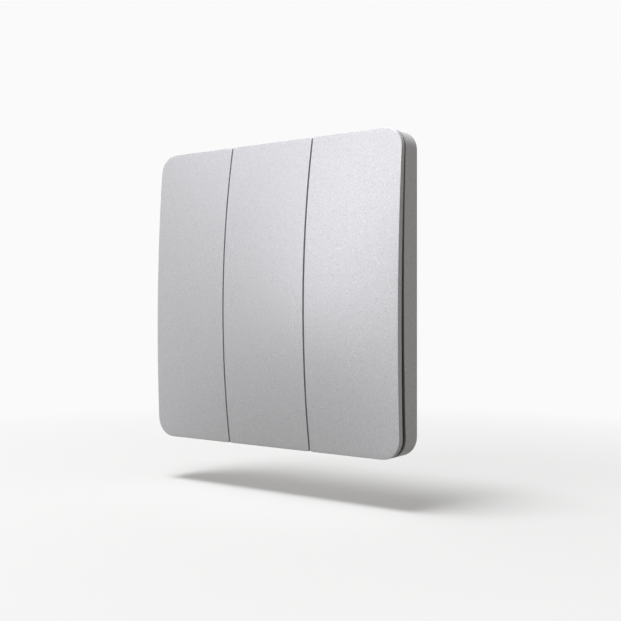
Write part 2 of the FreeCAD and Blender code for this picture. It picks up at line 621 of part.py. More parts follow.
def make_inner_frame():
    """The carrier plate with bearings, hook windows, posts, collars, openings and an outer wall."""
    body = new_body("inner_frame")
    pad(body, "plate", DROP_IN, "Places.frame_rear", "Sizes.frame_thickness")
    add_baffle(body)
    collar = "2 * Sizes.collar_wall"
    bay_place = [("0", "Places.cell_up")]
    bay = (rectangle, "Places.bay_width", "Places.bay_height")
    around_bay = (rectangle, f"{bay[1]} + {collar}", f"{bay[2]} + {collar}")
    pad(body, "bay_collar", around_bay, "Places.frame_front", "Sizes.collar_height", bay_place)
    pocket(body, "bay", bay, "Places.frame_front + Sizes.collar_height",
           "Sizes.frame_thickness + Sizes.collar_height", bay_place)
    side = "Sizes.switch_side + 2 * Sizes.window_gap"
    switches = at_keys("-Sizes.switch_drop")
    pad(body, "switch_collars", (rectangle, f"{side} + {collar}", f"{side} + {collar}"), "Places.frame_front",
        "Sizes.rib_height", switches)
    pocket(body, "switch_windows", (rectangle, side, side), "Places.frame_front + Sizes.rib_height",
           "Sizes.frame_thickness + Sizes.rib_height", switches)
    radio = (
        rectangle,
        "Sizes.radio_width + 2 * Sizes.window_gap",
        "Sizes.radio_height + 2 * Sizes.window_gap",
    )
    pocket(body, "radio_window", radio, "Places.frame_front", "Sizes.frame_thickness",
           [("-Places.radio_across", "Places.radio_up")])
    post = (rectangle, "Sizes.post_side", "Sizes.post_side")
    pad(body, "posts", post, "Places.board_front", "Sizes.post_height", STANDOFFS)
    pocket(body, "screw_holes", (circle, "Sizes.screw_radius + Sizes.running_gap"), "Places.frame_front",
           "Sizes.frame_thickness", SCREWS)
    hook_window = (
        rectangle,
        "Sizes.hook_width + 2 * Sizes.window_gap",
        "Sizes.hook_arm + 2 * Sizes.window_gap",
    )
    pocket(body, "hook_windows", hook_window, "Places.frame_front", "Sizes.frame_thickness",
           at_lugs("-Places.hook_drop"))
    add_bearings(body)
    return body


def add_baffle(body):
    """The frame's outer wall, which stands up inside the keys' lips and closes the view under them."""
    tall = "Places.rim_top - Places.frame_front + Sizes.side_wall"
    pad(body, "baffle", DROP_IN, "Places.frame_front", tall)
    inner = (
        rounded_rectangle,
        "Places.plate_width - 2 * Sizes.collar_wall",
        "Places.plate_height - 2 * Sizes.collar_wall",
        "Places.plate_radius - Sizes.collar_wall",
    )
    pocket(body, "baffle_inside", inner, "Places.blank_front", tall)
    notch = (rectangle, "Sizes.seam_gap + 2 * (Sizes.key_wall + Sizes.window_gap)", "Sizes.face_height")
    pocket(body, "baffle_notches", notch, "Places.blank_front", tall, at_sides("Places.key_pitch / 2"))
    top = "Places.key_back_top - Sizes.baffle_gap_top"
    bottom = "Places.key_back_bottom - Sizes.baffle_gap_bottom"
    bowed_pocket(body, "baffle_top", top, bottom, "Sizes.rim_sagitta")


def add_bearings(body):
    """Blocks under the plate: a bore along X, a window for the lug, and a mouth that the pin snaps into."""
    rear = "Places.pivot_depth - Places.bearing_radius - Sizes.bearing_wall"
    depth = f"Places.frame_front - ({rear})"
    height = "Places.pivot_height"
    length = "Places.bore_length + Sizes.bearing_wall"
    around = (rectangle, length, "2 * (Places.bearing_radius + Sizes.bearing_wall)")
    pad(body, "bearings", around, rear, depth, at_lugs(height, f"({length}) / 2"))
    window = (rectangle, "Places.lug_window", "2 * (Sizes.lug_radius + Sizes.window_gap)")
    pocket(body, "lug_windows", window, "Places.frame_front", depth, at_lugs(height))
    mouth = (rectangle, "Places.bore_length", "Sizes.mouth_width")
    pocket(body, "mouths", mouth, "Places.frame_front", "Places.frame_front - Places.pivot_depth",
           at_lugs(height, "Places.bore_length / 2"))
    half = (rectangle, "Places.bore_length", "Places.bearing_radius")
    bores = feature(body, "Groove", "bores", half, "Places.pivot_depth",
                    at_lugs("Places.bearing_radius / 2", "Places.bore_length / 2"))
    sketch = bores.Profile[0]
    bind(sketch, AttachmentOffset__Base__y="Places.pivot_height")
    bores.ReferenceAxis = (sketch, ["H_Axis"])


def make_circuit_board():
    body = new_body("circuit_board")
    outline = (rounded_rectangle, "Places.board_width", "Places.board_height", "Sizes.board_corner")
    pad(body, "laminate", outline, "Places.board_rear", "Sizes.board_thickness")
    clearance = "2 * (Sizes.dome_wall + Sizes.window_gap)"
    notch_length = f"Places.head_length + {clearance} + Places.board_width - Sizes.slot_spacing"
    notch = (rectangle, notch_length, f"Sizes.head_width + {clearance}")
    pocket(body, "notches", notch, "Places.board_front", "Sizes.board_thickness",
           at_sides("Places.board_width / 2"))
    pocket(body, "pin_holes", (circle, "Sizes.pin_radius + Sizes.running_gap"), "Places.board_front",
           "Sizes.board_thickness", PINS)
    return body


def make_radio():
    """The radio's own board, and the metal can that covers its upper part."""
    across = "-Places.radio_across"
    module = new_body("radio_module")
    pad(module, "board", (rectangle, "Sizes.radio_width", "Sizes.radio_height"), "Places.board_front",
        "Sizes.radio_board", [(across, "Places.radio_up")])
    shield = new_body("radio_shield")
    rear = "Places.board_front + Sizes.radio_board"
    can = [(across, "Places.radio_up - (Sizes.radio_height - Sizes.shield_side) / 2 + Sizes.fit_gap")]
    square = (rectangle, "Sizes.shield_side", "Sizes.shield_side")
    pad(shield, "can", square, rear, "Sizes.shield_height", can)
    inner = "Sizes.shield_side - 2 * Sizes.shield_wall"
    pocket(shield, "inside", (rectangle, inner, inner), f"{rear} + Sizes.shield_height - Sizes.shield_wall",
           "Sizes.shield_height - Sizes.shield_wall", can)
    return [module, shield]


def make_cell():
    """The holder, the cell, the sheet under it and the strip that bridges it."""
    here = [("0", "Places.cell_up")]
    holder = new_body("battery_holder")
    side = "2 * Places.holder_half"
    holder_front = "Places.board_front + Sizes.holder_height"
    pad(holder, "cup", (rectangle, side, side), "Places.board_front", "Sizes.holder_height", here)
    pocket(holder, "inside", (circle, "Places.cup_radius"), holder_front,
           "Sizes.holder_height - Sizes.holder_floor", here)
    slit = (rectangle, "Sizes.contact_width + 2 * Sizes.window_gap", f"{side} + Sizes.holder_wall")
    pocket(holder, "slit", slit, holder_front,
           "Sizes.holder_height - Sizes.holder_floor - Sizes.contact_thickness", here)
    cell = new_body("coin_cell")
    pad(cell, "can", (circle, "Sizes.cell_radius"), "Places.cell_rear", "Sizes.cell_height", here)
    negative = new_body("battery_contact_negative")
    pad(negative, "sheet", (rectangle, "Sizes.sheet_width", "Sizes.sheet_length"),
        "Places.board_front + Sizes.holder_floor", "Sizes.contact_thickness", here)
    positive = new_body("battery_contact_positive")
    sheet, width = "Sizes.contact_thickness", "Sizes.contact_width"
    bridge = (rectangle, width, f"2 * (Places.clip_reach + {sheet})")
    pad(positive, "bridge", bridge, "Places.cell_front", sheet, here)
    legs, feet = [], []
    for end in (-1, 1):
        legs.append(("0", f"Places.cell_up + {end} * (Places.clip_reach + {sheet} / 2)"))
        feet.append(("0", f"Places.cell_up + {end} * (Places.clip_reach + Sizes.contact_foot / 2)"))
    pad(positive, "legs", (rectangle, width, sheet), "Places.board_front",
        "Places.cell_front - Places.board_front", legs)
    pad(positive, "feet", (rectangle, width, "Sizes.contact_foot"), "Places.board_front", sheet, feet)
    return [holder, cell, negative, positive]


def make_switch(name, here):
    """One tact switch: body, metal cover, snap dome, and a plunger whose square flange can't turn."""
    square = (rectangle, "Sizes.switch_side", "Sizes.switch_side")
    floor = "Places.board_front + Sizes.cavity_floor"
    body_height = "Sizes.switch_height - Sizes.cover_thickness"
    body_front = f"Places.board_front + {body_height}"
    body = new_body(f"switch_body_{name}")
    pad(body, "block", square, "Places.board_front", body_height, here)
    pocket(body, "cavity", (rectangle, "Sizes.cavity_side", "Sizes.cavity_side"), body_front,
           f"{body_height} - Sizes.cavity_floor", here)
    cover = new_body(f"switch_cover_{name}")
    pad(cover, "sheet", square, body_front, "Sizes.cover_thickness", here)
    pocket(cover, "hole", (circle, "Sizes.plunger_radius + Sizes.running_gap"), "Places.switch_top",
           "Sizes.cover_thickness", here)
    inner_side = "Sizes.cavity_side - 4 * Sizes.running_gap"
    dome = new_body(f"switch_dome_{name}")
    pad(dome, "sheet", (rectangle, "Sizes.dome_width", inner_side), floor, "Sizes.dome_thickness", here)
    plunger = new_body(f"switch_plunger_{name}")
    flange_rear = f"{floor} + Sizes.dome_thickness + Sizes.press_travel + Sizes.running_gap"
    flange_front = f"{body_front} - Sizes.running_gap"
    pad(plunger, "flange", (rectangle, inner_side, inner_side), flange_rear,
        f"{flange_front} - ({flange_rear})", here)
    pad(plunger, "stem", (circle, "Sizes.plunger_radius"), flange_front,
        f"Places.plunger_top - ({flange_front})", here)
    return [body, cover, dome, plunger]


def make_frame_screws():
    """Two like screws in one group, each with a pan head and a cross recess."""
    head_front = "Places.frame_front + Sizes.screw_head"
    head = (circle, "Sizes.screw_head_radius")
    heads = prism("screw_heads", head, "Places.frame_front", "Sizes.screw_head", SCREWS)
    shanks = prism("screw_shanks", (circle, "Sizes.screw_radius"), "Places.frame_front - Sizes.screw_length",
                   "Sizes.screw_length", SCREWS)
    bars = []
    for name, wide, high in (("flat", "2 * Sizes.recess_radius", "Sizes.recess_width"),
                             ("upright", "Sizes.recess_width", "2 * Sizes.recess_radius")):
        bars.append(prism(f"screw_{name}_bars", (rectangle, wide, high), f"{head_front} - Sizes.recess_depth",
                          "Sizes.recess_depth", SCREWS))
    return cut("frame_screws", join("screw_blanks", [heads, shanks]), join("screw_recesses", bars))


EDGE, SEAM = "Sizes.face_width / 2", "Places.key_pitch / 2"
FRONT_ARCS = ((f"-{EDGE}", "Sizes.side_sagitta"), ("0", "Sizes.crown_sagitta"), (EDGE, "Sizes.side_sagitta"))
INSIDE_ARCS = (
    (f"-{EDGE}", "Sizes.side_sagitta"),
    (f"-{SEAM}", "Places.shoulder_sagitta"),
    (SEAM, "Places.shoulder_sagitta"),
    (EDGE, "Sizes.side_sagitta"),
)


def pillow(name, behind, arcs, ruled):
    """The shared shape of the keys, as a loft through arcs, a given distance behind their front."""
    sections = []
    for index, (across, sagitta) in enumerate(arcs):
        sketch = doc.addObject("Sketcher::SketchObject", f"{name}_section_{index}")
        place(sketch, across, "0", "0", SIDE_VIEW)
        bowed_section(sketch, "Places.wall_front", f"Places.key_front_top - {behind}",
                      f"Places.key_front_bottom - {behind}", sagitta)
        sections.append(sketch)
    loft = doc.addObject("Part::Loft", name)
    loft.Sections = sections
    loft.Solid = True
    loft.Ruled = ruled
    return loft


def make_keys():
    """Three shells cut from one pillow, each with its lugs, hooks, rib and boss."""
    deep = "Sizes.key_blank"
    inset = (
        rounded_rectangle,
        "Sizes.face_width - 2 * Sizes.key_wall",
        "Sizes.face_height - 2 * Sizes.key_wall",
        "Sizes.corner_radius - Sizes.key_wall",
    )
    front = pillow("pillow_front", "0", FRONT_ARCS, False)
    outside = [front, prism("face_prism", FACE, "0", deep)]
    back = pillow("pillow_inside", "Sizes.key_skin", INSIDE_ARCS, True)
    inside = [back, prism("hollow_prism", inset, "0", deep)]
    middle = pillow("pillow_middle", "Sizes.key_skin / 2", INSIDE_ARCS, True)
    rear = bowed_block("behind_keys", "0", "Places.key_back_top", "Places.key_back_bottom",
                       "Sizes.key_back_sagitta")
    keys = []
    for (name, _), spot in zip(SIDES, at_keys("0")):
        shell = make_shell(name, spot, outside, inside, rear)
        pieces = join(f"key_parts_{name}", make_key_parts(name, spot[0]))
        attached = meet(f"key_attached_{name}", [pieces, middle])
        keys.append(join(f"key_{name}", [shell, attached]))
    return keys


def make_shell(name, spot, outside, inside, rear):
    """One key's share of the pillow, chamfered in front, hollow and open behind."""
    outline = (rounded_rectangle, "Places.key_width", "Sizes.face_height", "Sizes.seam_corner")
    slab = prism(f"key_slab_{name}", outline, "0", "Sizes.key_blank", [spot])
    room = (rectangle, "Places.key_width - 2 * Sizes.key_wall", "Sizes.face_height")
    hollow = prism(f"key_room_{name}", room, "0", "Sizes.key_blank", [spot])
    blank = meet(f"key_blank_{name}", [*outside, slab])
    cavity = meet(f"key_cavity_{name}", [*inside, hollow])
    doc.recompute()
    chamfer = doc.addObject("Part::Chamfer", f"key_chamfered_{name}")
    chamfer.Base = blank
    size = number(blank, "Sizes.key_edge_break")
    chamfer.Edges = [(i, size, size) for i in outline_edges(blank.Shape, to_front)]
    return cut(f"key_shell_{name}", chamfer, join(f"key_inside_{name}", [cavity, rear]))


def make_key_parts(name, centre):
    """What stands inside a key, each piece long enough to reach into its front wall."""
    deep = "Sizes.key_blank"
    pivot_up, pivot_depth = "Places.pivot_height", "Places.pivot_depth"
    catch_rear = "Places.frame_rear - Sizes.running_gap - Sizes.catch_height"
    pieces = []
    for end in (-1, 1):
        tag = f"{name}_{end + 1}"
        across = f"{centre} + {end} * Sizes.lug_spacing / 2"
        pieces.append(block(f"lug_{tag}", "Sizes.lug_thickness", "2 * Sizes.lug_radius", deep, across,
                            pivot_up, pivot_depth))
        pieces.append(rod(f"lug_end_{tag}", "Sizes.lug_radius", "Sizes.lug_thickness", across, pivot_up,
                          pivot_depth))
        pieces.append(rod(f"trunnion_{tag}", "Sizes.trunnion_radius",
                          "Sizes.lug_thickness + Sizes.trunnion_reach",
                          f"{across} + {end} * Sizes.trunnion_reach / 2", pivot_up, pivot_depth))
        pieces.append(block(f"hook_arm_{tag}", "Sizes.hook_width", "Sizes.hook_arm", deep, across,
                            "-Places.hook_drop", catch_rear))
        pieces.append(block(f"hook_catch_{tag}", "Sizes.hook_width", "Sizes.hook_catch + Sizes.hook_arm",
                            "Sizes.catch_height", across, "-Places.hook_drop + Sizes.hook_catch / 2",
                            catch_rear))
    pieces.append(block(f"boss_{name}", "Sizes.boss_side", "Sizes.boss_side", deep, centre,
                        "-Sizes.switch_drop", "Places.plunger_top + Sizes.running_gap"))
    pieces.append(block(f"rib_up_{name}", "Sizes.key_rib", "Places.rib_length", deep, centre, "0",
                        "Places.key_front_top + Sizes.side_sagitta"))
    return pieces


def main():
    parts = [make_wall_plate(), *make_adhesive_pads(), make_base_housing(), make_circuit_board()]
    parts += [*make_radio(), *make_cell(), make_frame_screws(), make_inner_frame()]
    for (name, _), spot in zip(SIDES, at_keys("-Sizes.switch_drop")):
        parts += make_switch(name, [spot])
    parts += make_keys()
    doc.recompute()
    for item in doc.Objects:
        bad = [state for state in item.State if state in ("Invalid", "Error")]
        if bad:
            raise RuntimeError(f"{item.Label} did not compute: {bad}")
    os.makedirs("parts", exist_ok=True)
    for item in parts:
        shape = item.Shape
        if shape.isNull() or not shape.isValid():
            raise RuntimeError(f"{item.Label} has no valid shape")
        print(item.Label, len(shape.Solids), round(shape.Volume, 2))
    for item in parts:
        item.Shape.exportStep(f"parts/{item.Label}.step")


main()
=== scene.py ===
import json
import math

import bmesh
import bpy
import numpy as np
from bpy.props import FloatProperty, FloatVectorProperty, IntProperty, PointerProperty
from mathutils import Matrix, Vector


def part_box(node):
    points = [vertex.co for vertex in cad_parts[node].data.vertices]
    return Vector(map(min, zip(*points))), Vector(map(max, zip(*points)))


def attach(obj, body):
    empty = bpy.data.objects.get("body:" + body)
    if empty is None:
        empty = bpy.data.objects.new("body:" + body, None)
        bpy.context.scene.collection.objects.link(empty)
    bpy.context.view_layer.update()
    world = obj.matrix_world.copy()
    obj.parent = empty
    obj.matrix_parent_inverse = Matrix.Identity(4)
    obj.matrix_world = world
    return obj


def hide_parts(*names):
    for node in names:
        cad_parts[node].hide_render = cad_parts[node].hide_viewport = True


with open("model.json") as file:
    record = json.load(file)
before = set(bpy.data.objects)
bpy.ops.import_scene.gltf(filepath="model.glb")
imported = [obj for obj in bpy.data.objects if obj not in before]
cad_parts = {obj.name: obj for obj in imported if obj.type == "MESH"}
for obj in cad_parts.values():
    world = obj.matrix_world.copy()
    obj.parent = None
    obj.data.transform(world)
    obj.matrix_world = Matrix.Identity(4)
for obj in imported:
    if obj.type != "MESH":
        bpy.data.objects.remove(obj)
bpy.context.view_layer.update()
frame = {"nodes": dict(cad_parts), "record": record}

bl_info = {
    "name": "Wall remote with three keys",
    "version": (1, 0, 0),
    "blender": (4, 5, 0),
    "location": "3D View > Sidebar > Wall remote",
    "description": "Keys, finishes and studio of a battery wall remote, built round its CAD frame",
    "category": "Object",
}

# The wall is the plane Y = 0 and the keys face -Y, so a depth d lies at Y = -d. All sizes are in metres.

MM = 0.001
SIDES = ("left", "middle", "right")
KEYS_LOW = min(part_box(f"key_{side}")[0].z for side in SIDES)
KEYS_HIGH = max(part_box(f"key_{side}")[1].z for side in SIDES)
FACE_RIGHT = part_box("key_right")[1].x

# Faces that meet at less than these angles are shaded as one curve.
KEY_SOFT_ANGLE = math.radians(35)
PART_SOFT_ANGLE = math.radians(24)

# Corners of loose triangles that lie nearer than this are one corner.
MERGE_DISTANCE = 0.0005 * MM

# Outlines in the rounding of a key's front edge, and sides of a lug's or a pin's circle.
ROUNDING_STEPS = 7
ROD_SIDES = 28

# The housing is bare on its inner wall, with this margin. Where a normal's Y lies below FORWARD, on the rim's
# front and its
# # break under the keys, the same dark bare plastic is painted shade of the narrow gap there.
WALL_MARGIN = 0.05 * MM
FORWARD = -0.5

# Grains, cells and bands as they are drawn, from one to the next.
PAINT_GRAIN = 0.22 * MM
PLASTIC_GRAIN = 0.3 * MM
FOAM_CELL = 0.3 * MM
COPPER_PITCH = 5.655 * MM

# How far a wave texture of scale one turns in one metre, in radians.
WAVE_TURN = 20

# The camera's sensor in millimetres, and the distance in metres from which it sees.
SENSOR_WIDTH = 36
NEAREST_SEEN = 0.01


def linear(code):
    """An sRGB hex colour as linear light, with an alpha of one."""
    parts = [int(code[i:i + 2], 16) / 255 for i in (1, 3, 5)]
    return (*(p / 12.92 if p <= 0.04045 else ((p + 0.055) / 1.055) ** 2.4 for p in parts), 1.0)


def length(name, description, default):
    """A length in metres."""
    return FloatProperty(name=name, description=description, default=default, unit="LENGTH", precision=5)


def spot(name, description, default):
    """A place in metres."""
    return FloatVectorProperty(name=name, description=description, default=default, subtype="TRANSLATION",
                               unit="LENGTH")


def power(name, description, default):
    """A lamp's power in watts."""
    return FloatProperty(name=name, description=description, default=default, unit="POWER", min=0.0)


def share(name, description, default):
    """A number from nought to one."""
    return FloatProperty(name=name, description=description, default=default, min=0.0, max=1.0)


def colour(name, description, code):
    """A colour from its sRGB hex code."""
    return FloatVectorProperty(name=name, description=description, default=linear(code), subtype="COLOR",
                               size=4, min=0.0, max=1.0)


class WallRemoteKeySizes(bpy.types.PropertyGroup):
    """The moulded key shells."""

    front_top: length("Front at top", "Depth of the front at the top edge", 7.51 * MM)
    front_bottom: length("Front at bottom", "Depth of the front at the bottom edge", 8.95 * MM)
    crown: length("Crown", "Rise of the front's arc in the middle of the face", 3.905 * MM)
    side_rise: length("Side rise", "Rise of the front's arc at the left and right edges", 1.6 * MM)
    rear_top: length("Rear at top", "Depth of the rear edge at the top", 6.23 * MM)
    rear_bottom: length("Rear at bottom", "Depth of the rear edge at the bottom", 7.32 * MM)
    rear_rise: length("Rear rise", "Rise of the rear edge's arc", 1.3 * MM)
    outer_corner: length("Outer corner", "Corner radius of the whole face", 5.5 * MM)
    seam_corner: length("Seam corner", "Corner radius where two keys meet", 0.6 * MM)
    edge_round: length("Edge rounding", "Rounding between the front and the sides", 0.15 * MM)
    rear_round: length("Rear rounding", "Break of the rear edge", 0.08 * MM)
    skin: length("Skin", "Thickness of the front wall", 1.2 * MM)
    wall: length("Wall", "Thickness of the side walls", 1.2 * MM)
    housing_wall: length("Housing wall", "Thickness of the housing's side walls", 1.6 * MM)
    columns: IntProperty(name="Columns", description="Quads across one key", default=34, min=8, max=120)
    rows: IntProperty(name="Rows", description="Quads along one key", default=84, min=8, max=240)


class WallRemoteHookSizes(bpy.types.PropertyGroup):
    """What stands inside a key: lugs with stub pins, hooks, a rib and the boss over its switch."""

    pivot_height: length("Pivot height", "Height of the pivot above the middle", 37.2 * MM)
    pivot_depth: length("Pivot depth", "Depth of the pivot", 4.9 * MM)
    spacing: length("Spacing", "Distance between the two lugs or hooks of a key", 16 * MM)
    lug_thickness: length("Lug thickness", "Thickness of a lug", 1.6 * MM)
    lug_radius: length("Lug radius", "Rounded end of a lug", 1.3 * MM)
    pin_radius: length("Pin radius", "Stub pin on the outer side of a lug", 0.8 * MM)
    pin_reach: length("Pin reach", "How far a stub pin stands out of its lug", 1.2 * MM)
    hook_drop: length("Hook drop", "Distance of the hooks below the middle", 38 * MM)
    hook_width: length("Hook width", "Width of a hook", 4 * MM)
    hook_arm: length("Hook arm", "Thickness of a hook's arm", 1.2 * MM)
    hook_catch: length("Hook catch", "Reach of a hook's catch", 0.8 * MM)
    catch_rear: length("Catch rear", "Depth of the rear of a hook's catch", 4.15 * MM)
    catch_height: length("Catch height", "Thickness of a hook's catch", 0.6 * MM)
    boss_drop: length("Boss drop", "Distance of the boss below the middle", 14 * MM)
    boss_side: length("Boss side", "Side of the boss", 3.6 * MM)
    boss_rear: length("Boss rear", "Depth of the rear of the boss", 8.55 * MM)
    rib_length: length("Rib length", "Length of the stiffening rib", 57 * MM)
    rib_width: length("Rib width", "Width of the stiffening rib", 1 * MM)
    rib_rear: length("Rib rear", "Depth of the rear of the rib", 9.11 * MM)


class WallRemoteColours(bpy.types.PropertyGroup):
    """Colours of the finishes."""

    paint_light: colour("Paint, light grains", "Silver paint where a flake catches the light", "#C6C6C7")
    paint_dark: colour("Paint, dark grains", "Silver paint between the flakes", "#AAAAAB")
    # This bare colour also lies on the housing rim under the keys, as painted shade of the gap there.
    bare: colour("Bare plastic", "Unpainted inside of the keys and the housing", "#68686A")
    carrier: colour("Carrier", "Dark moulded plastic of the inner frame", "#3A3A3C")
    plate: colour("Wall plate", "Mid grey moulded plastic of the wall plate", "#8E8F90")
    board: colour("Board", "Solder mask of the circuit board", "#1E4A36")
    foam: colour("Foam", "Foam of the adhesive pads", "#D9D8D3")
    backdrop: colour("Backdrop", "White behind the object", "#FAFAFA")
    floor: colour("Floor", "Paper floor as the camera sees it", "#B9B8B4")
    floor_bounce: colour("Floor bounce", "Paper floor as the object's finishes see it", "#6C6A64")
    lamplight: colour("Lamplight", "Light of the lamps", "#F8F9FF")
    surroundings: colour("Surroundings", "Light from all round", "#FFEAD2")


class WallRemoteStage(bpy.types.PropertyGroup):
    """Camera, floor and lamps."""

    lens: FloatProperty(name="Lens", description="Focal length on a 36 mm sensor", default=53.9, min=10.0,
                        max=300.0, unit="CAMERA")
    distance: length("Distance", "From the camera to the middle of the back face", 269.18 * MM)
    turn: FloatProperty(name="Turn", description="How far the camera stands to the right", subtype="ANGLE",
                        default=math.radians(36.22))
    across: length("Across", "How far the back face's middle lies left of the picture's middle", 6.614 * MM)
    eye: length("Eye", "Height of the camera above the middle", -3.704 * MM)
    shift: FloatProperty(name="Shift", description="Upward shift of the picture, as a share of its width",
                         default=-0.0048)
    floor: length("Floor", "Height of the floor above the middle", -56.3 * MM)
    floor_reach: length("Floor reach", "From the middle of the floor to its sides", 2.0)
    fade_start: length("Fade start", "Distance at which the floor starts to fade into white", 80 * MM)
    fade_end: length("Fade end", "Distance at which the floor is white", 240 * MM)
    fade_least: share("Least fade", "Share of plain white under the object", 0.3)
    top_place: spot("Top lamp place", "Middle of the softbox above the object", (-0.12, -0.22, 0.86))
    top_width: length("Top lamp width", "Width of the softbox above the object", 0.35)
    top_height: length("Top lamp height", "Height of the softbox above the object", 0.35)
    top_power: power("Top lamp", "Power of the softbox above the object", 15.0)
    front_place: spot("Front lamp place", "Middle of the softbox before the object", (-0.29, -0.7, 0.28))
    front_width: length("Front lamp width", "Width of the softbox before the object", 0.32)
    front_height: length("Front lamp height", "Height of the softbox before the object", 0.8)
    front_power: power("Front lamp", "Power of the softbox before the object", 3.1)
    back_place: spot("Back lamp place", "Middle of the softbox behind the object", (-0.3, 0.75, 0.06))
    back_width: length("Back lamp width", "Width of the softbox behind the object", 0.6)
    back_height: length("Back lamp height", "Height of the softbox behind the object", 0.6)
    back_power: power("Back lamp", "Power of the softbox behind the object", 4.0)
    ambient: share("Ambient", "Strength of the light from all round", 0.08)


# Surfaces


def bowed(z, top, bottom, rise):
    """Depth of a circular arc whose chord runs from top to bottom of the face and which rises by rise.

    With chord c and rise s the radius is (c^2 / 4 + s^2) / 2s, and the centre lies r - s behind the chord's
    middle.
    """
    half = (KEYS_HIGH - KEYS_LOW) / 2
    slope = math.atan2(bottom - top, 2 * half)
    chord = math.hypot(bottom - top, 2 * half)
    radius = (chord**2 / 4 + rise**2) / (2 * rise)
    centre_depth = (top + bottom) / 2 - (radius - rise) * math.cos(slope)
    centre_z = -(radius - rise) * math.sin(slope)
    return centre_depth + np.sqrt(radius**2 - (z - centre_z) ** 2)


def front_depth(x, z, sizes):
    """The pillow: at each x an arc along z, whose rise falls with the square of x."""
    rise = sizes.crown - (sizes.crown - sizes.side_rise) * (x / FACE_RIGHT) ** 2
    return bowed(z, sizes.front_top, sizes.front_bottom, rise)


def rounded_sides(low, high, left_radius, right_radius, columns, rows):
    """The outline of a rounded rectangle as bottom, right, top and left runs, with outward normals.

    The quarter circles belong to the bottom and top runs: x = low + r (1 - cos a), z = low + r (1 - sin a).
    Each takes a fifth of the columns, and at least four.
    """
    arc = max(4, columns // 5)
    turn = np.linspace(0, np.pi / 2, arc + 1)
    flat = np.linspace(low[0] + left_radius, high[0] - right_radius, columns - 2 * arc + 1)[1:-1]
    x = np.concatenate([low[0] + left_radius * (1 - np.cos(turn)), flat,
                        high[0] - right_radius * (1 - np.cos(turn[::-1]))])
    sag = np.concatenate([left_radius * (1 - np.sin(turn)), np.zeros_like(flat),
                          right_radius * (1 - np.sin(turn[::-1]))])
    normal_x = np.concatenate([-np.cos(turn), np.zeros_like(flat), np.cos(turn[::-1])])
    normal_z = np.concatenate([np.sin(turn), np.ones_like(flat), np.sin(turn[::-1])])
    up = np.linspace(0, 1, rows + 1)
    z_left = low[1] + left_radius + (high[1] - low[1] - 2 * left_radius) * up
    z_right = low[1] + right_radius + (high[1] - low[1] - 2 * right_radius) * up
    ones = np.ones_like(up)
    return {
        "bottom": (np.stack([x, low[1] + sag], 1), np.stack([normal_x, -normal_z], 1)),
        "right": (np.stack([high[0] * ones, z_right], 1), np.stack([ones, 0 * ones], 1)),
        "top": (np.stack([x, high[1] - sag], 1), np.stack([normal_x, normal_z], 1)),
        "left": (np.stack([low[0] * ones, z_left], 1), np.stack([-ones, 0 * ones], 1)),
    }


def loop(runs, part):
    """The four runs joined into one closed loop, counterclockwise as seen with +Z up and +X to the right."""
    return np.concatenate([runs["bottom"][part][:-1], runs["right"][part][:-1], runs["top"][part][:0:-1],
                           runs["left"][part][:0:-1]])


def patch(bottom, right, top, left):
    """A grid within four edges: the ruled blends of both pairs of edges, less the blend of the corners.

    At shares u across and v up it is (1 - u) left + u right + (1 - v) bottom + v top, less the same blend of
    the four corner points.
    """
    u = np.linspace(0, 1, len(bottom))[None, :, None]
    v = np.linspace(0, 1, len(left))[:, None, None]
    across = (1 - u) * left[:, None] + u * right[:, None]
    along = (1 - v) * bottom[None] + v * top[None]
    corners = ((1 - v) * ((1 - u) * bottom[0] + u * bottom[-1]) + v * ((1 - u) * top[0] + u * top[-1]))
    return across + along - corners


def split(ring, columns, rows):
    """A closed loop back into its four runs."""
    right = columns
    top = right + rows
    left = top + columns
    closed = np.concatenate([ring, ring[:1]])
    return closed[:right + 1], closed[right:top + 1], closed[top:left + 1][::-1], closed[left:][::-1]


